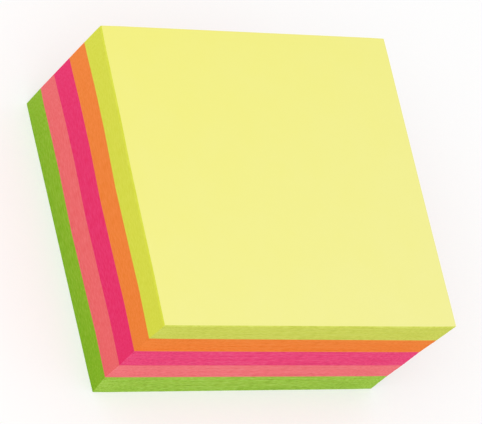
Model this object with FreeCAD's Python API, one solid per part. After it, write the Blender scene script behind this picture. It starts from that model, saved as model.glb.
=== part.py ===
import FreeCAD, Part
import math
import os

# A block of sticky notes in five colours, bound by the adhesive along one edge only.
# Sizes are in millimetres. The origin is the centre of the bottom note, +X runs to the right along
# the free edge, +Y runs from the free edge at the front to the bound edge at the back, and +Z is up.

# One note
note_width = 75.0  # along the bound edge
note_depth = 75.0  # from the free edge to the bound edge
adhesive_rise = 0.005  # what one note adds at the bound edge over what it adds at the free edge
side_rise = 0.005  # what one note adds at its right edge over what it adds at its left edge

# The whole block, pressed together
block_height = 38.4  # at the middle of the notes

# Notes of each colour, from the bottom of the block to the top
green_notes = 81
coral_notes = 73
magenta_notes = 83
orange_notes = 80
yellow_notes = 83

# How far the top of the block has crept from the bottom, as the notes slide and turn on each other
lean_right = 0.5
lean_forward = 1.6
turn_degrees = -0.6  # about the upright, seen from above

# The notes part into thin packets, which slip back a little at the free edge and stay flush where bound
notes_per_packet = 4
free_edge_slip = 0.15
side_slip = 0.07
flush_share = 0.3  # most that a packet of the flush kind slips, as a share of the full slip
slipped_share = 0.6  # least that a packet of the slipped kind slips
slip_turn = 2.4  # turn from one packet to the next, in radians, that spreads the slips evenly

# The cutting blade presses over the edges of the topmost packet by this much
pressed_edge = 0.3

pads = [
    ("green_pad", green_notes),
    ("coral_pad", coral_notes),
    ("magenta_pad", magenta_notes),
    ("orange_pad", orange_notes),
    ("yellow_pad", yellow_notes),
]
block_notes = sum(notes for name, notes in pads)
note_thickness = block_height / block_notes
lean_x = lean_right / block_height
lean_y = -lean_forward / block_height
turn_per_note = math.radians(turn_degrees) / block_notes


def on_stack(x, y, notes):
    """Point (x, y) of the note on top of this many notes, as the block's lean and turn place it."""
    turn = turn_per_note * notes
    x, y = x * math.cos(turn) - y * math.sin(turn), x * math.sin(turn) + y * math.cos(turn)
    rise_here = note_thickness + adhesive_rise * y / note_depth + side_rise * x / note_width
    rise_of_lean = adhesive_rise * lean_y / note_depth + side_rise * lean_x / note_width
    height = notes * rise_here / (1.0 - notes * rise_of_lean)
    return FreeCAD.Vector(x + lean_x * height, y + lean_y * height, height)


def slip_of(packet):
    """Share of the full slip that a packet has: flush and slipped packets take turns."""
    spread = 0.5 + 0.5 * math.sin(slip_turn * packet)
    if packet % 2 == 0:
        return flush_share * spread
    return slipped_share + (1.0 - slipped_share) * spread


def outline(notes, slip, pressed=0.0):
    """Corners of the note on top of this many notes: bound left, free left, free right, bound right."""
    bound_x = note_width / 2 - pressed
    bound_y = note_depth / 2 - pressed
    free_x = bound_x - side_slip * slip
    free_y = bound_y - free_edge_slip * slip
    return [
        on_stack(-bound_x, bound_y, notes),
        on_stack(-free_x, -free_y, notes),
        on_stack(free_x, -free_y, notes),
        on_stack(bound_x, bound_y, notes),
    ]


def flat_face(points):
    """Flat face inside the closed polygon through these points."""
    return Part.Face(Part.makePolygon(points + points[:1]))


def straight_edge(start, end):
    """Straight edge between two points."""
    return Part.LineSegment(start, end).toShape()


def packet_walls(lower, upper):
    """Four cut edges of one packet, which twist a little between its lower and its upper outline."""
    walls = []
    for here in range(len(lower)):
        after = (here + 1) % len(lower)
        low_edge = straight_edge(lower[here], lower[after])
        high_edge = straight_edge(upper[here], upper[after])
        walls.append(Part.makeRuledSurface(low_edge, high_edge))
    return walls


def slip_ledge(below, above):
    """Narrow ledge between two packets, which starts and ends at the corners of the bound edge."""
    return flat_face([below[0], below[1], below[2], below[3], above[2], above[1]])


def pad_levels(first_note, notes):
    """Note counts at which a pad's packets start and end."""
    starts = [first_note + count for count in range(0, round(notes), notes_per_packet)]
    return starts + [first_note + notes]


def make_pad(first_note, notes, first_packet):
    """One colour of notes as a closed solid, with the edge of each packet, and its packet count."""
    levels = pad_levels(first_note, notes)
    packets = len(levels) - 1
    faces = []
    top = None
    for packet in range(packets):
        slip = slip_of(first_packet + packet)
        pressed = pressed_edge if levels[packet + 1] > block_notes - 0.5 else 0.0
        lower = outline(levels[packet], slip)
        upper = outline(levels[packet + 1], slip, pressed)
        if top is None:
            faces.append(flat_face(lower))
        else:
            faces.append(slip_ledge(top, lower))
        faces.extend(packet_walls(lower, upper))
        top = upper
    faces.append(flat_face(top))
    shell = Part.makeShell(faces)
    shell.sewShape()
    pad = Part.makeSolid(shell)
    if pad.Volume < 0:
        pad.reverse()
    return pad, packets


def main():
    """Build the pads from the bottom of the block to the top and write one file for each."""
    os.makedirs("parts", exist_ok=True)
    notes_below = 0
    packets_below = 0
    for name, notes in pads:
        pad, packets = make_pad(notes_below, notes, packets_below)
        pad.exportStep("parts/" + name + ".step")
        box = pad.BoundBox
        print(name, "valid", pad.isValid(), "solids", len(pad.Solids), "faces", len(pad.Faces))
        print("  volume mm3", round(pad.Volume, 1), "height mm", round(box.ZMin, 3), round(box.ZMax, 3))
        notes_below += notes
        packets_below += packets


main()
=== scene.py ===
import logging
import math
from dataclasses import dataclass, field
from enum import Enum

import bpy
import numpy as np
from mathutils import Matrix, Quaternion, Vector


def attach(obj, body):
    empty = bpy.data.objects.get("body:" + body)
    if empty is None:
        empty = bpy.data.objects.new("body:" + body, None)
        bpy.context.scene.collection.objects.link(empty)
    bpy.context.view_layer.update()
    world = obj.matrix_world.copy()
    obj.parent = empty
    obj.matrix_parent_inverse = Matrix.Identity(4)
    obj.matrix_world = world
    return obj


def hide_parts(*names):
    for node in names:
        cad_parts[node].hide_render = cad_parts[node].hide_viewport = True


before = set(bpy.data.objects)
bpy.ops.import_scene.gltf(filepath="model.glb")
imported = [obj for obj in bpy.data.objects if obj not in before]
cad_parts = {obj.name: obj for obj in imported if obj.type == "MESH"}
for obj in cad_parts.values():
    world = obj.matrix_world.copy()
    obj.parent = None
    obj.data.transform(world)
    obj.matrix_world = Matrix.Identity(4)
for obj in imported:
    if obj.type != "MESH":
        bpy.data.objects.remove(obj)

# A block of sticky notes in five colours, bound by the adhesive along one edge only.
# Sizes are in metres, apart from those whose name or class says millimetres. The origin is the centre
# of the bottom note, +X runs to the right along the free edge, +Y runs from the free edge at the front
# to the bound edge at the back, and +Z is up.

log = logging.getLogger("sticky_notes")
logging.basicConfig(level=logging.INFO, format="%(name)s: %(message)s")

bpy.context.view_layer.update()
MM = 0.001
ROOT_BODY = "root"
FULL_TURN = 2.0 * math.pi
WHITE = "FFFFFF"

# The standard curve between an sRGB value and its linear one
SRGB_KNEE = 0.04045
SRGB_SLOPE = 12.92
SRGB_OFFSET = 0.055
SRGB_POWER = 2.4

# Inputs and output of Blender's colour mix node, which has sockets of the same name for each data type
MIX_FACTOR = 0
MIX_FIRST = 6
MIX_SECOND = 7
MIX_RESULT = 2

# The middle value of a noise pattern, which swings evenly about it
NOISE_MIDDLE = 0.5

# The map of a pad's cut edges, whose U runs along the edge and V up the stack
EDGE_MAP = "note_edges"

# A face looks along an axis when more than this share of its normal lies on that axis
LOOKS_ALONG = 0.5

# A point lies on an edge when it is nearer to it than this share of the side
ON_EDGE = 1e-4

# A point belongs to the note that starts at its height, even if it lies lower by this share of a note
LEVEL_SLACK = 0.01

# How many more packets of notes are drawn by chance than a pad holds
SPARE_PACKETS = 2

# Both ends of each upright corner, the lower one first, by the signs of its x and y
Corners = dict[tuple[int, int], tuple[Vector, Vector]]


class Surface(Enum):
    """The kinds of surface that a pad of notes shows, with the place of each one's material on the pad."""

    WRITING_FACE = 0
    TIGHT_CUT = 1
    LOOSE_CUT = 2
    ADHESIVE = 3


@dataclass(frozen=True)
class CutColours:
    """Colours of one kind of cut edge, as sRGB hex values.

    The middle colour is the edge's own. The deep one is painted shade in its gaps, and the pale one a
    painted highlight on proud notes. Both also carry the real grain of the cut.
    """

    middle: str
    deep: str
    pale: str


@dataclass(frozen=True)
class NotePaper:
    """Colours of one kind of note paper, as sRGB hex values.

    The cut edges look deeper than the writing face, because light bounces between the notes there.
    The notes lie loose at the free edge and tight at the other three edges. The loose cut is paler
    and has deeper painted shade where its notes part.
    """

    name: str
    face: str
    face_deep: str
    tight: CutColours
    loose: CutColours


# Each cut's deep colour is painted shade where notes part and its pale one a painted highlight on proud
# notes, both also carrying the cut's real grain. The writing face mixes towards its deep colour for its
# cloudy tone and for a painted light gradient.
YELLOW = NotePaper(
    name="yellow",
    face="F1EE97",
    face_deep="F1ED7A",
    tight=CutColours(middle="D6DB46", deep="D2D73E", pale="DADF4E"),
    loose=CutColours(middle="D1D95A", deep="C2CB4B", pale="DAE26B"),
)
ORANGE = NotePaper(
    name="orange",
    face="F4883F",
    face_deep="EF7F36",
    tight=CutColours(middle="F08337", deep="EC7D2D", pale="F48941"),
    loose=CutColours(middle="F78735", deep="EA7A28", pale="F99044"),
)
MAGENTA = NotePaper(
    name="magenta",
    face="EC3C78",
    face_deep="E43270",
    tight=CutColours(middle="E8316C", deep="E52662", pale="EB3C76"),
    loose=CutColours(middle="F1467F", deep="DE3870", pale="F3618F"),
)
CORAL = NotePaper(
    name="coral",
    face="EF7074",
    face_deep="EA666B",
    tight=CutColours(middle="ED6A6D", deep="EA6163", pale="F07377"),
    loose=CutColours(middle="F77980", deep="EA6B73", pale="F88990"),
)
GREEN = NotePaper(
    name="green",
    face="9CC74A",
    face_deep="92BF3E",
    tight=CutColours(middle="89B825", deep="7CB013", pale="96C039"),
    loose=CutColours(middle="A1CD46", deep="87B232", pale="B6DD64"),
)


def linear_colour(hex_value: str) -> tuple[float, float, float, float]:
    """Turn an sRGB hex value into a linear colour.

    Args:
        hex_value: six hex digits, red first.

    Returns:
        Linear red, green and blue with an alpha of 1.
    """
    channels = []
    for value in bytes.fromhex(hex_value):
        share = value / 255.0
        if share <= SRGB_KNEE:
            channels.append(share / SRGB_SLOPE)
        else:
            channels.append(((share + SRGB_OFFSET) / (1.0 + SRGB_OFFSET)) ** SRGB_POWER)
    return (*channels, 1.0)


def between(low: float | np.ndarray, high: float | np.ndarray, share: np.ndarray) -> np.ndarray:
    """Pass evenly from the low to the high value as the share goes from 0 to 1."""
    return low * (1.0 - share) + high * share


def add_node(
    tree: bpy.types.NodeTree,
    kind: str,
    settings: dict | None = None,
    values: dict | None = None,
    links: dict | None = None,
) -> bpy.types.Node:
    """Add a node to a tree with its settings, its input values and its incoming links.

    Args:
        tree: the node tree.
        kind: Blender's name for the kind of node.
        settings: the node's own properties.
        values: input name or number to its value.
        links: input name or number to the output socket that feeds it.

    Returns:
        The new node.
    """
    node = tree.nodes.new(kind)
    for name, value in (settings or {}).items():
        setattr(node, name, value)
    for key, value in (values or {}).items():
        node.inputs[key].default_value = value
    for key, socket in (links or {}).items():
        tree.links.new(socket, node.inputs[key])
    return node


def new_material(name: str) -> tuple[bpy.types.Material, bpy.types.NodeTree]:
    """Make a material with an empty node tree.

    Args:
        name: the material's name.

    Returns:
        The material and its tree.
    """
    material = bpy.data.materials.new(name)
    material.use_nodes = True
    material.node_tree.nodes.clear()
    return material, material.node_tree


def white_for_eye(tree: bpy.types.NodeTree) -> bpy.types.NodeSocket:
    """Add the test for rays that show the surroundings to the eye, straight, mirrored or through.

    Args:
        tree: the node tree that needs the test.

    Returns:
        The socket that gives 1 for those rays and 0 for light on the object.
    """
    path = add_node(tree, "ShaderNodeLightPath")
    seen = path.outputs["Is Camera Ray"]
    for kind in ("Is Glossy Ray", "Is Transmission Ray"):
        either = add_node(
            tree,
            "ShaderNodeMath",
            settings={"operation": "MAXIMUM"},
            links={0: seen, 1: path.outputs[kind]},
        )
        seen = either.outputs["Value"]
    return seen


@dataclass(frozen=True)
class WritingFaceFinish:
    """Wood-free note paper, machine-made, dyed in the pulp and smoothed between rollers.

    The eye sees an even, matt, pale sheet, with painted light that makes it a little paler towards the
    front right and deeper towards the back left. It is faintly cloudy where the fibres lie closer
    together, with a fine tooth. The tooth is drawn coarser than the fibres are, because they are too fine
    to show.
    """

    paper: NotePaper
    # Painted light: the face grows paler towards the front right and deeper towards the back left
    painted_light_per_mm: tuple[float, float, float] = (-0.0045, 0.0069, 0.0)
    cloud_mm: float = 9.0
    cloud_detail: float = 4.0
    cloud_roughness: float = 0.62
    cloud_share: float = 0.3
    fibre_mm: float = 0.45
    fibre_detail: float = 3.0
    fibre_roughness: float = 0.6
    fibre_share: float = 0.15
    deep_share: float = 0.45
    tooth_mm: float = 0.012
    tooth_strength: float = 0.35
    roughness: float = 0.78
    gloss: float = 0.25

    def build(self) -> bpy.types.Material:
        """Make the material of the writing face.

        Returns:
            The material.
        """
        material, tree = new_material(f"wood_free_note_paper_{self.paper.name}")
        place = add_node(tree, "ShaderNodeTexCoord")
        cloud = add_node(
            tree,
            "ShaderNodeTexNoise",
            values={
                "Scale": 1.0 / (self.cloud_mm * MM),
                "Detail": self.cloud_detail,
                "Roughness": self.cloud_roughness,
            },
            links={"Vector": place.outputs["Object"]},
        )
        fibre = add_node(
            tree,
            "ShaderNodeTexNoise",
            values={
                "Scale": 1.0 / (self.fibre_mm * MM),
                "Detail": self.fibre_detail,
                "Roughness": self.fibre_roughness,
            },
            links={"Vector": place.outputs["Object"]},
        )
        # Painted light: a slope of the colour across the face, added to its cloudy tone
        light_graded = add_node(
            tree,
            "ShaderNodeVectorMath",
            settings={"operation": "DOT_PRODUCT"},
            values={1: tuple(value / MM for value in self.painted_light_per_mm)},
            links={0: place.outputs["Object"]},
        )
        clouded = add_node(
            tree,
            "ShaderNodeMath",
            settings={"operation": "MULTIPLY_ADD"},
            values={1: self.cloud_share},
            links={0: cloud.outputs["Fac"], 2: light_graded.outputs["Value"]},
        )
        blend = add_node(
            tree,
            "ShaderNodeMath",
            settings={"operation": "MULTIPLY_ADD"},
            values={1: self.fibre_share},
            links={0: fibre.outputs["Fac"], 2: clouded.outputs["Value"]},
        )
        start = NOISE_MIDDLE * (self.cloud_share + self.fibre_share) - self.deep_share
        share = add_node(
            tree,
            "ShaderNodeMapRange",
            values={"From Min": start, "From Max": start + 1.0},
            links={"Value": blend.outputs["Value"]},
        )
        colour = add_node(
            tree,
            "ShaderNodeMix",
            settings={"data_type": "RGBA"},
            values={
                MIX_FIRST: linear_colour(self.paper.face),
                MIX_SECOND: linear_colour(self.paper.face_deep),
            },
            links={MIX_FACTOR: share.outputs["Result"]},
        )
        tooth = add_node(
            tree,
            "ShaderNodeBump",
            values={"Strength": self.tooth_strength, "Distance": self.tooth_mm * MM},
            links={"Height": fibre.outputs["Fac"]},
        )
        shader = add_node(
            tree,
            "ShaderNodeBsdfPrincipled",
            values={"Roughness": self.roughness, "Specular IOR Level": self.gloss},
            links={"Base Color": colour.outputs[MIX_RESULT], "Normal": tooth.outputs["Normal"]},
        )
        add_node(tree, "ShaderNodeOutputMaterial", links={"Surface": shader.outputs["BSDF"]})
        return material


@dataclass(frozen=True)
class CutEdgeFinish:
    """The cut edges of a stack of dyed notes, sheared by one stroke of a guillotine.

    The eye sees long fine lines along the notes, with painted shade where two notes part and a painted
    highlight where a note stands a little proud, and over them the short grain that the blade leaves in
    the fibres. The lines are drawn several notes wide, because one note is too thin to show. Painted light
    makes the colour a little paler along the edge, towards the back on the two sides and towards the right
    on the bound edge.
    """

    name: str
    colours: CutColours
    grain_share: float
    # Painted light: how fast the edge grows paler along its length, per millimetre
    painted_light_per_mm: float
    line_mm: float = 0.45
    run_mm: float = 14.0
    grain_mm: float = 1.2
    detail: float = 2.0
    noise_roughness: float = 0.6
    swing: float = 0.2
    roughness: float = 0.86
    gloss: float = 0.15

    def build(self) -> bpy.types.Material:
        """Make the material of one kind of cut edge.

        Returns:
            The material.
        """
        material, tree = new_material(self.name)
        edge_map = add_node(tree, "ShaderNodeUVMap", settings={"uv_map": EDGE_MAP})
        noises = []
        for length_mm in (self.run_mm, self.grain_mm):
            stretched = add_node(
                tree,
                "ShaderNodeMapping",
                values={"Scale": (1.0 / (length_mm * MM), 1.0 / (self.line_mm * MM), 1.0)},
                links={"Vector": edge_map.outputs["UV"]},
            )
            noise = add_node(
                tree,
                "ShaderNodeTexNoise",
                settings={"noise_dimensions": "2D"},
                values={"Scale": 1.0, "Detail": self.detail, "Roughness": self.noise_roughness},
                links={"Vector": stretched.outputs["Vector"]},
            )
            noises.append(noise)
        lines, grain = noises
        pattern = add_node(
            tree,
            "ShaderNodeMix",
            values={"Factor": self.grain_share},
            links={"A": lines.outputs["Fac"], "B": grain.outputs["Fac"]},
        )
        # Painted light: the edge grows paler along its length
        light_gradient = add_node(
            tree,
            "ShaderNodeVectorMath",
            settings={"operation": "DOT_PRODUCT"},
            values={1: (self.painted_light_per_mm / MM, 0.0, 0.0)},
            links={0: edge_map.outputs["UV"]},
        )
        light_graded = add_node(
            tree,
            "ShaderNodeMath",
            settings={"operation": "ADD"},
            links={0: pattern.outputs["Result"], 1: light_gradient.outputs["Value"]},
        )
        # Painted shade where two notes part, mixed with the real grain of the cut
        gap_shade = add_node(
            tree,
            "ShaderNodeMapRange",
            values={"From Min": NOISE_MIDDLE, "From Max": NOISE_MIDDLE - self.swing},
            links={"Value": light_graded.outputs["Value"]},
        )
        # Painted highlight where a note stands proud, mixed with the real grain of the cut
        proud_highlight = add_node(
            tree,
            "ShaderNodeMapRange",
            values={"From Min": NOISE_MIDDLE, "From Max": NOISE_MIDDLE + self.swing},
            links={"Value": light_graded.outputs["Value"]},
        )
        darker = add_node(
            tree,
            "ShaderNodeMix",
            settings={"data_type": "RGBA"},
            values={
                MIX_FIRST: linear_colour(self.colours.middle),
                MIX_SECOND: linear_colour(self.colours.deep),
            },
            links={MIX_FACTOR: gap_shade.outputs["Result"]},
        )
        colour = add_node(
            tree,
            "ShaderNodeMix",
            settings={"data_type": "RGBA"},
            values={MIX_SECOND: linear_colour(self.colours.pale)},
            links={MIX_FACTOR: proud_highlight.outputs["Result"], MIX_FIRST: darker.outputs[MIX_RESULT]},
        )
        shader = add_node(
            tree,
            "ShaderNodeBsdfPrincipled",
            values={"Roughness": self.roughness, "Specular IOR Level": self.gloss},
            links={"Base Color": colour.outputs[MIX_RESULT]},
        )
        add_node(tree, "ShaderNodeOutputMaterial", links={"Surface": shader.outputs["BSDF"]})
        return material


@dataclass(frozen=True)
class AdhesiveFinish:
    """Repositionable acrylic adhesive, coated as tiny beads in a band on the note's underside.

    The eye sees the paper's colour a little deeper and with a faint, broken gloss. The beads are drawn
    far coarser than they are, because they are too fine to show.
    """

    paper: NotePaper
    bead_mm: float = 0.5
    detail: float = 2.0
    noise_roughness: float = 0.5
    bead_height_mm: float = 0.01
    bead_strength: float = 0.5
    roughness: float = 0.42
    gloss: float = 0.5

    def build(self) -> bpy.types.Material:
        """Make the material of the adhesive band.

        Returns:
            The material.
        """
        material, tree = new_material(f"acrylic_adhesive_on_{self.paper.name}_note")
        place = add_node(tree, "ShaderNodeTexCoord")
        beads = add_node(
            tree,
            "ShaderNodeTexNoise",
            values={
                "Scale": 1.0 / (self.bead_mm * MM),
                "Detail": self.detail,
                "Roughness": self.noise_roughness,
            },
            links={"Vector": place.outputs["Object"]},
        )
        colour = add_node(
            tree,
            "ShaderNodeMix",
            settings={"data_type": "RGBA"},
            values={
                MIX_FIRST: linear_colour(self.paper.face_deep),
                MIX_SECOND: linear_colour(self.paper.tight.middle),
            },
            links={MIX_FACTOR: beads.outputs["Fac"]},
        )
        bump = add_node(
            tree,
            "ShaderNodeBump",
            values={"Strength": self.bead_strength, "Distance": self.bead_height_mm * MM},
            links={"Height": beads.outputs["Fac"]},
        )
        shader = add_node(
            tree,
            "ShaderNodeBsdfPrincipled",
            values={"Roughness": self.roughness, "Specular IOR Level": self.gloss},
            links={"Base Color": colour.outputs[MIX_RESULT], "Normal": bump.outputs["Normal"]},
        )
        add_node(tree, "ShaderNodeOutputMaterial", links={"Surface": shader.outputs["BSDF"]})
        return material


@dataclass(frozen=True)
class EdgeSlips:
    """How far the notes stand back from one cut face at the most, in millimetres.

    Each single note, each packet of notes and each place along a note's edge has a slip of its own.
    """

    single: float
    packet: float
    packet_notes: int
    wave: float


LOOSE_SLIPS = EdgeSlips(single=0.03, packet=0.04, packet_notes=5, wave=0.03)
TIGHT_SLIPS = EdgeSlips(single=0.008, packet=0.01, packet_notes=9, wave=0.006)


@dataclass(frozen=True)
class Creep:
    """How far the note at one height has crept out of line, in millimetres.

    The first two values are for the left and the right edge. The next two are for the left and the
    right end of the free edge. The waviness is the share that the left edge has of its full wave.
    """

    left: float = 0.0
    right: float = 0.0
    free_left: float = 0.0
    free_right: float = 0.0
    waviness: float = 1.0


# From the underside of the block, past each change of colour, to the top note
CREEP = (
    Creep(right=0.3, free_left=0.33, waviness=0.0),
    Creep(left=0.36, right=0.2, free_left=-0.12),
    Creep(right=0.15, free_left=-0.1, free_right=0.2),
    Creep(right=0.2, free_left=-0.2, free_right=0.2),
    Creep(right=0.1, free_left=0.05, free_right=0.55, waviness=1.1),
    Creep(left=0.22, right=0.1, free_left=0.5, free_right=0.75, waviness=0.5),
)


@dataclass(frozen=True)
class PressedEdges:
    """How far the blade has pressed in each edge of the topmost notes, in millimetres.

    A value below zero spreads the edge. The flare spreads the right edge more towards its free end,
    and its power sets how suddenly.
    """

    notes: int = 0
    left: float = 0.0
    right: float = 0.0
    free: float = 0.0
    bound: float = 0.0
    flare: float = 0.0
    flare_power: int = 3


TOP_EDGES = PressedEdges(notes=4, left=0.3, right=-0.15, free=0.3, bound=-0.03, flare=0.35)


@dataclass
class NoteStack:
    """The notes of one colour, held together at their bound edge.

    One note's cut edge is modelled once as a thin band, copied up the stack, closed at both ends by
    a note's face, and then laid between the corners of the solid that it stands for.
    """

    node: str
    paper: NotePaper
    seed: int
    low_creep: Creep
    high_creep: Creep
    pressed: PressedEdges = PressedEdges()
    bound_grip: float = 12.0
    worn_corner_mm: float = 0.06
    corner_crowding: float = 0.6
    left_wave_mm: float = 0.19
    left_wave_turns: float = 1.65
    left_wave_start: float = 1.53
    note_thickness: float = 0.096 * MM
    wall_share: float = 0.84
    merge_share: float = 0.05
    side_parts: int = 8
    wave_parts: int = 8
    adhesive_parts: int = 2
    smooth_below: float = math.radians(5.0)
    tight_grain: float = 0.85
    # Painted light along the cut edges: the tight ones grow paler along the edge, the loose one stays even
    tight_painted_light_per_mm: float = 0.0028
    loose_grain: float = 0.6
    loose_painted_light_per_mm: float = 0.0
    corners: Corners = field(init=False)
    notes: int = field(init=False)
    width: float = field(init=False)
    depth: float = field(init=False)
    height: float = field(init=False)

    def __post_init__(self) -> None:
        """Read the solid's corners and work out how many notes it holds."""
        self.corners = self.read_corners()
        heights = [(high - low).length for low, high in self.corners.values()]
        self.notes = round(sum(heights) / len(heights) / self.note_thickness)
        front_left = self.corners[(-1, -1)][0]
        self.width = (self.corners[(1, -1)][0] - front_left).length
        self.depth = (self.corners[(-1, 1)][0] - front_left).length
        self.height = self.notes * self.note_thickness

    def read_corners(self) -> Corners:
        """Find the upright corners of the solid, each along the straight mean of its packets' corners.

        Returns:
            The four corners.
        """
        solid_points = [vertex.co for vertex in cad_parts[self.node].data.vertices]
        found = {}
        for side in (-1, 1):
            for end in (-1, 1):
                column = np.array([co for co in solid_points if co.x * side > 0 and co.y * end > 0])
                heights = column[:, 2]
                below_top = column[heights < heights.max() - self.note_thickness]
                lines = [np.polyfit(below_top[:, 2], below_top[:, axis], 1) for axis in (0, 1)]
                found[(side, end)] = tuple(
                    Vector((*(np.polyval(line, height) for line in lines), height))
                    for height in (heights.min(), heights.max())
                )
        return found

    def build_band(self) -> bpy.types.Object:
        """Model the cut edge of one note: a thin upright band with a narrow step to the next note.

        Returns:
            The band, with its lower edge on the ground.
        """
        bpy.ops.object.select_all(action="DESELECT")
        bpy.ops.mesh.primitive_plane_add(size=1.0, location=(0.0, 0.0, 0.0))
        band = bpy.context.object
        bpy.ops.object.mode_set(mode="EDIT")
        bpy.ops.transform.resize(value=(self.width, self.depth, 1.0))
        bpy.ops.mesh.delete(type="ONLY_FACE")
        bpy.ops.mesh.select_all(action="SELECT")
        bpy.ops.mesh.subdivide(number_cuts=self.side_parts - 1)
        bpy.ops.mesh.select_all(action="SELECT")
        wall = self.note_thickness * self.wall_share
        step = self.note_thickness - wall
        for rise in (wall, step):
            bpy.ops.mesh.extrude_region_move(TRANSFORM_OT_translate={"value": (0.0, 0.0, rise)})
        bpy.ops.object.mode_set(mode="OBJECT")
        return band

    def stack_bands(self, band: bpy.types.Object) -> None:
        """Copy the band up the stack, once for each note.

        Args:
            band: one note's cut edge, which becomes the whole stack's.
        """
        copies = band.modifiers.new("notes", "ARRAY")
        copies.count = self.notes
        copies.use_relative_offset = False
        copies.use_constant_offset = True
        copies.constant_offset_displace = (0.0, 0.0, self.note_thickness)
        copies.use_merge_vertices = True
        copies.merge_threshold = self.merge_share * self.note_thickness
        bpy.ops.object.modifier_apply(modifier=copies.name)

    def close_ends(self, stack: bpy.types.Object) -> None:
        """Close the stack with the underside of its lowest note and the writing face of its top note.

        Args:
            stack: the cut edges of all the notes, open at both ends.
        """
        sheets = []
        for height in (0.0, self.height):
            bpy.ops.object.select_all(action="DESELECT")
            bpy.ops.mesh.primitive_grid_add(
                x_subdivisions=self.side_parts,
                y_subdivisions=self.side_parts,
                size=1.0,
                location=(0.0, 0.0, height),
            )
            sheet = bpy.context.object
            sheet.scale = (self.width, self.depth, 1.0)
            bpy.ops.object.transform_apply(location=True, rotation=False, scale=True)
            sheets.append(sheet)
        bpy.ops.object.select_all(action="DESELECT")
        for piece in (*sheets, stack):
            piece.select_set(True)
        bpy.context.view_layer.objects.active = stack
        bpy.ops.object.join()
        bpy.ops.object.mode_set(mode="EDIT")
        bpy.ops.mesh.select_all(action="SELECT")
        bpy.ops.mesh.remove_doubles(threshold=self.merge_share * self.note_thickness)
        bpy.ops.mesh.normals_make_consistent(inside=False)
        bpy.ops.object.mode_set(mode="OBJECT")

    def slip_table(self, slips: EdgeSlips, dice: np.random.RandomState) -> np.ndarray:
        """Work out how far each note stands back from one face, at even places along its edge.

        Args:
            slips: the sizes of the slips on this face.
            dice: the seeded source of chance.

        Returns:
            Distances in metres, one row for each note and one column for each place.
        """
        single = dice.uniform(0.0, slips.single, (self.notes, 1))
        packets = math.ceil(self.notes / slips.packet_notes) + SPARE_PACKETS
        packet = dice.uniform(0.0, slips.packet, packets)
        of_packet = packet[np.arange(self.notes) // slips.packet_notes][:, None]
        wave = dice.uniform(0.0, slips.wave, (self.notes, self.wave_parts + 1))
        neighbours = (wave, np.roll(wave, 1, axis=0), np.roll(wave, 1, axis=1))
        slip = single + of_packet + sum(neighbours) / len(neighbours)
        return (slip - slip.mean()) * MM

    def read_table(self, table: np.ndarray, note: np.ndarray, share: np.ndarray) -> np.ndarray:
        """Read a slip table for many points, straight between its places.

        Args:
            table: distances by note and place.
            note: the note that each point belongs to.
            share: how far along the edge each point lies, from 0 to 1.

        Returns:
            The distance at each point.
        """
        position = np.clip(share, 0.0, 1.0) * self.wave_parts
        start = np.minimum(position.astype(int), self.wave_parts - 1)
        return between(table[note, start], table[note, start + 1], position - start)

    def crowd(self, share: np.ndarray) -> np.ndarray:
        """Move places along an edge, from 0 to 1, closer to its two corners."""
        return share - self.corner_crowding * np.sin(FULL_TURN * share) / FULL_TURN

    def left_creep(self, along: np.ndarray, up: np.ndarray) -> np.ndarray:
        """Work out how far the notes stand out at the left edge, which is a little wavy.

        The adhesive keeps the notes in line at the bound edge, so the creep ends there.

        Args:
            along: how far back each point lies, from 0 to 1.
            up: how high in this stack each point lies, from 0 to 1.

        Returns:
            The distance at each point, in metres.
        """
        wave = np.cos(FULL_TURN * self.left_wave_turns * along + self.left_wave_start)
        waviness = between(self.low_creep.waviness, self.high_creep.waviness, up)
        creep = between(self.low_creep.left, self.high_creep.left, up)
        return (creep * (1.0 - along**self.bound_grip) + self.left_wave_mm * waviness * wave) * MM

    def free_creep(self, across: np.ndarray, up: np.ndarray) -> np.ndarray:
        """Work out how far the notes stand out at the free edge.

        Args:
            across: how far to the right each point lies, from 0 to 1.
            up: how high in this stack each point lies, from 0 to 1.

        Returns:
            The distance at each point, in metres.
        """
        on_left = between(self.low_creep.free_left, self.high_creep.free_left, up)
        on_right = between(self.low_creep.free_right, self.high_creep.free_right, up)
        return between(on_left, on_right, across) * MM

    def pressed_share(self, up: np.ndarray) -> np.ndarray:
        """Work out how much of the blade's full press each point has, rounding over to the top.

        Args:
            up: how high in this stack each point lies, from 0 to 1.

        Returns:
            The share at each point, from 0 to 1.
        """
        if not self.pressed.notes:
            return np.zeros_like(up)
        depth = np.clip(1.0 - (1.0 - up) * self.notes / self.pressed.notes, 0.0, 1.0)
        return 1.0 - np.sqrt(1.0 - depth**2)

    def lay_notes(self, stack: bpy.types.Object) -> None:
        """Slip the notes and lay them between the corners of the solid.

        Args:
            stack: the closed stack, still a plain block on the origin.
        """
        dice = np.random.RandomState(self.seed)
        mesh = stack.data
        flat = np.empty(len(mesh.vertices) * 3)
        mesh.vertices.foreach_get("co", flat)
        points = flat.reshape(-1, 3)
        across = self.crowd(points[:, 0] / self.width + 0.5)
        along = self.crowd(points[:, 1] / self.depth + 0.5)
        up = np.clip(points[:, 2] / self.height, 0.0, 1.0)
        level = np.floor(points[:, 2] / self.note_thickness + LEVEL_SLACK).astype(int)
        note = np.clip(level, 0, self.notes - 1)
        left = across < ON_EDGE
        right = across > 1.0 - ON_EDGE
        front = along < ON_EDGE
        back = along > 1.0 - ON_EDGE

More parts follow.
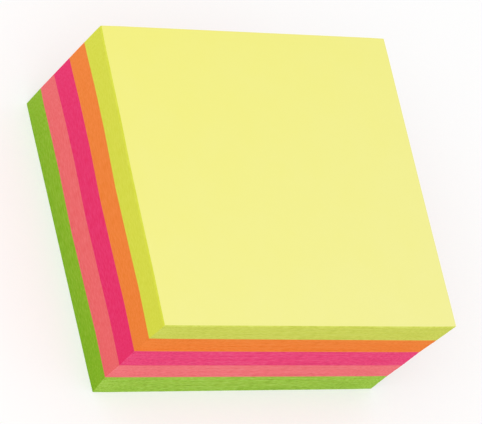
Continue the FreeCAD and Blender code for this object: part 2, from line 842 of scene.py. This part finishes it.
        front_slip = self.read_table(self.slip_table(LOOSE_SLIPS, dice), note, across)
        back_slip = self.read_table(self.slip_table(TIGHT_SLIPS, dice), note, across)
        left_slip = self.read_table(self.slip_table(TIGHT_SLIPS, dice), note, along)
        right_slip = self.read_table(self.slip_table(TIGHT_SLIPS, dice), note, along)
        right_creep = between(self.low_creep.right, self.high_creep.right, up) * MM
        right_press = self.pressed.right - self.pressed.flare * (1.0 - along) ** self.pressed.flare_power
        press = self.pressed_share(up) * MM
        worn = ((left | right) & (front | back)) * self.worn_corner_mm * MM
        left_in = left_slip + worn + press * self.pressed.left - self.left_creep(along, up)
        right_in = right_slip + worn + press * right_press - right_creep
        front_in = front_slip + worn + press * self.pressed.free - self.free_creep(across, up)
        back_in = back_slip + worn + press * self.pressed.bound

        placed = np.zeros_like(points)
        for (side, end), (low, high) in self.corners.items():
            weight = (across if side > 0 else 1.0 - across) * (along if end > 0 else 1.0 - along)
            placed += weight[:, None] * (np.array(low) + up[:, None] * np.array(high - low))
        placed[left, 0] += left_in[left]
        placed[right, 0] -= right_in[right]
        placed[front, 1] += front_in[front]
        placed[back, 1] -= back_in[back]
        mesh.vertices.foreach_set("co", placed.ravel())
        mesh.update()

    def make_finishes(self) -> dict[Surface, bpy.types.Material]:
        """Make the material of each kind of surface.

        Returns:
            Kind of surface to its material.
        """
        tight = CutEdgeFinish(
            name=f"tight_cut_edges_of_{self.paper.name}_notes",
            colours=self.paper.tight,
            grain_share=self.tight_grain,
            painted_light_per_mm=self.tight_painted_light_per_mm,
        )
        loose = CutEdgeFinish(
            name=f"loose_cut_edges_of_{self.paper.name}_notes",
            colours=self.paper.loose,
            grain_share=self.loose_grain,
            painted_light_per_mm=self.loose_painted_light_per_mm,
        )
        return {
            Surface.WRITING_FACE: WritingFaceFinish(self.paper).build(),
            Surface.TIGHT_CUT: tight.build(),
            Surface.LOOSE_CUT: loose.build(),
            Surface.ADHESIVE: AdhesiveFinish(self.paper).build(),
        }

    def sort_face(self, face: bpy.types.MeshPolygon) -> tuple[Surface, tuple[int, int]]:
        """Tell what a face of the plain block shows, and which two axes its map follows.

        Args:
            face: a face of the stack before its notes are laid.

        Returns:
            The kind of surface, and the axes of U and V.
        """
        if abs(face.normal.z) > LOOKS_ALONG:
            adhesive_start = self.depth * (0.5 - self.adhesive_parts / self.side_parts)
            if face.normal.z < 0.0 and face.center.y > adhesive_start:
                return Surface.ADHESIVE, (0, 1)
            return Surface.WRITING_FACE, (0, 1)
        if abs(face.normal.x) > LOOKS_ALONG:
            return Surface.TIGHT_CUT, (1, 2)
        if face.center.y > 0.0:
            return Surface.TIGHT_CUT, (0, 2)
        return Surface.LOOSE_CUT, (0, 2)

    def dress(self, stack: bpy.types.Object) -> None:
        """Give the stack its materials and its edge map.

        Args:
            stack: the closed stack, still a plain block on the origin.
        """
        mesh = stack.data
        finishes = self.make_finishes()
        mesh.materials.clear()
        for surface in Surface:
            mesh.materials.append(finishes[surface])
        edge_map = mesh.uv_layers.new(name=EDGE_MAP)
        for face in mesh.polygons:
            surface, axes = self.sort_face(face)
            face.material_index = surface.value
            for corner in face.loop_indices:
                point = mesh.vertices[mesh.loops[corner].vertex_index].co
                edge_map.data[corner].uv = [point[axis] for axis in axes]

    def build(self) -> bpy.types.Object:
        """Model the stack, dress it and let it stand for its solid.

        Returns:
            The finished piece.
        """
        stack = self.build_band()
        self.stack_bands(stack)
        self.close_ends(stack)
        stack.name = self.node.replace("_pad", "_notes")
        stack.data.name = stack.name
        self.dress(stack)
        self.lay_notes(stack)
        bpy.ops.object.shade_smooth_by_angle(angle=self.smooth_below)
        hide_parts(self.node)
        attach(stack, ROOT_BODY)
        return stack


@dataclass(frozen=True)
class BoardFinish:
    """Matt white board, calendered and uncoated.

    The eye sees a floor that is almost as white as the surroundings, with the block's soft shadow.
    """

    colour: str = "F4F4F2"
    white_share: float = 0.45

    def build(self) -> bpy.types.Material:
        """Make the material of the floor, with its shadow softened for the eye.

        Returns:
            The material.
        """
        material, tree = new_material("matt_white_board")
        seen = white_for_eye(tree)
        colour = add_node(
            tree,
            "ShaderNodeMix",
            settings={"data_type": "RGBA"},
            values={MIX_FIRST: linear_colour(self.colour), MIX_SECOND: linear_colour(WHITE)},
            links={MIX_FACTOR: seen},
        )
        board = add_node(tree, "ShaderNodeBsdfDiffuse", links={"Color": colour.outputs[MIX_RESULT]})
        white = add_node(
            tree,
            "ShaderNodeEmission",
            values={"Color": linear_colour(WHITE), "Strength": 1.0},
        )
        share = add_node(
            tree,
            "ShaderNodeMath",
            settings={"operation": "MULTIPLY"},
            values={1: self.white_share},
            links={0: seen},
        )
        shader = add_node(
            tree,
            "ShaderNodeMixShader",
            links={0: share.outputs["Value"], 1: board.outputs["BSDF"], 2: white.outputs["Emission"]},
        )
        add_node(tree, "ShaderNodeOutputMaterial", links={"Surface": shader.outputs["Shader"]})
        return material


@dataclass
class Studio:
    """Pale floor, white surroundings, one soft lamp and the camera at the photograph's angle."""

    floor_size: float = 6.0
    room_strength: float = 0.83
    key_power: float = 3.6
    key_size: float = 0.9
    key_place: tuple[float, float, float] = (-0.55, -0.35, 0.95)
    lens_mm: float = 268.8
    sensor_mm: float = 36.0
    nearest: float = 0.01
    farthest: float = 50.0
    camera_place: tuple[float, float, float] = (-0.4246, -0.3443, 0.6529)
    camera_aim: tuple[float, float, float] = (0.0011, -0.0008, 0.0192)
    camera_roll: float = math.radians(44.4)

    def build_floor(self) -> None:
        """Lay the pale floor under the block."""
        bpy.ops.object.select_all(action="DESELECT")
        bpy.ops.mesh.primitive_plane_add(size=self.floor_size, location=(0.0, 0.0, 0.0))
        floor = bpy.context.object
        floor.name = "studio_floor"
        floor.data.materials.append(BoardFinish().build())

    def build_room(self) -> None:
        """Surround the block with even white light."""
        world = bpy.data.worlds.new("white_room")
        bpy.context.scene.world = world
        world.use_nodes = True
        tree = world.node_tree
        tree.nodes.clear()
        strength = add_node(
            tree,
            "ShaderNodeMapRange",
            values={"To Min": self.room_strength, "To Max": 1.0},
            links={"Value": white_for_eye(tree)},
        )
        glow = add_node(
            tree,
            "ShaderNodeBackground",
            values={"Color": linear_colour(WHITE)},
            links={"Strength": strength.outputs["Result"]},
        )
        add_node(tree, "ShaderNodeOutputWorld", links={"Surface": glow.outputs["Background"]})

    def build_key(self) -> None:
        """Hang one broad soft lamp over the near left of the block."""
        lamp = bpy.data.lights.new("soft_key", "AREA")
        lamp.shape = "SQUARE"
        lamp.size = self.key_size
        lamp.energy = self.key_power
        key = bpy.data.objects.new("soft_key", lamp)
        bpy.context.collection.objects.link(key)
        key.location = self.key_place
        key.rotation_mode = "QUATERNION"
        key.rotation_quaternion = (-Vector(self.key_place)).to_track_quat("-Z", "Y")

    def build_camera(self) -> None:
        """Place the long-lens camera, turned about its own axis as in the photograph."""
        lens = bpy.data.cameras.new("camera")
        lens.lens = self.lens_mm
        lens.sensor_width = self.sensor_mm
        lens.clip_start = self.nearest
        lens.clip_end = self.farthest
        camera = bpy.data.objects.new("camera", lens)
        bpy.context.collection.objects.link(camera)
        camera.location = self.camera_place
        look = (Vector(self.camera_aim) - Vector(self.camera_place)).to_track_quat("-Z", "Y")
        camera.rotation_mode = "QUATERNION"
        camera.rotation_quaternion = look @ Quaternion((0.0, 0.0, 1.0), self.camera_roll)
        bpy.context.scene.camera = camera

    def build(self) -> None:
        """Make the whole studio."""
        self.build_floor()
        self.build_room()
        self.build_key()
        self.build_camera()
        bpy.context.scene.view_settings.view_transform = "Standard"
        log.info("studio: lens %.1f mm, roll %.1f degrees", self.lens_mm, math.degrees(self.camera_roll))


def main() -> None:
    """Build the notes of each colour from the bottom of the block to the top, and then the studio."""
    papers = (GREEN, CORAL, MAGENTA, ORANGE, YELLOW)
    first_seed = 11
    for place, paper in enumerate(papers):
        stack = NoteStack(
            node=f"{paper.name}_pad",
            paper=paper,
            seed=first_seed + place,
            low_creep=CREEP[place],
            high_creep=CREEP[place + 1],
            pressed=TOP_EDGES if paper is papers[-1] else PressedEdges(),
        )
        piece = stack.build()
        log.info("%s: %d notes, %d faces", piece.name, stack.notes, len(piece.data.polygons))
    Studio().build()


if __name__ == "__main__":
    main()
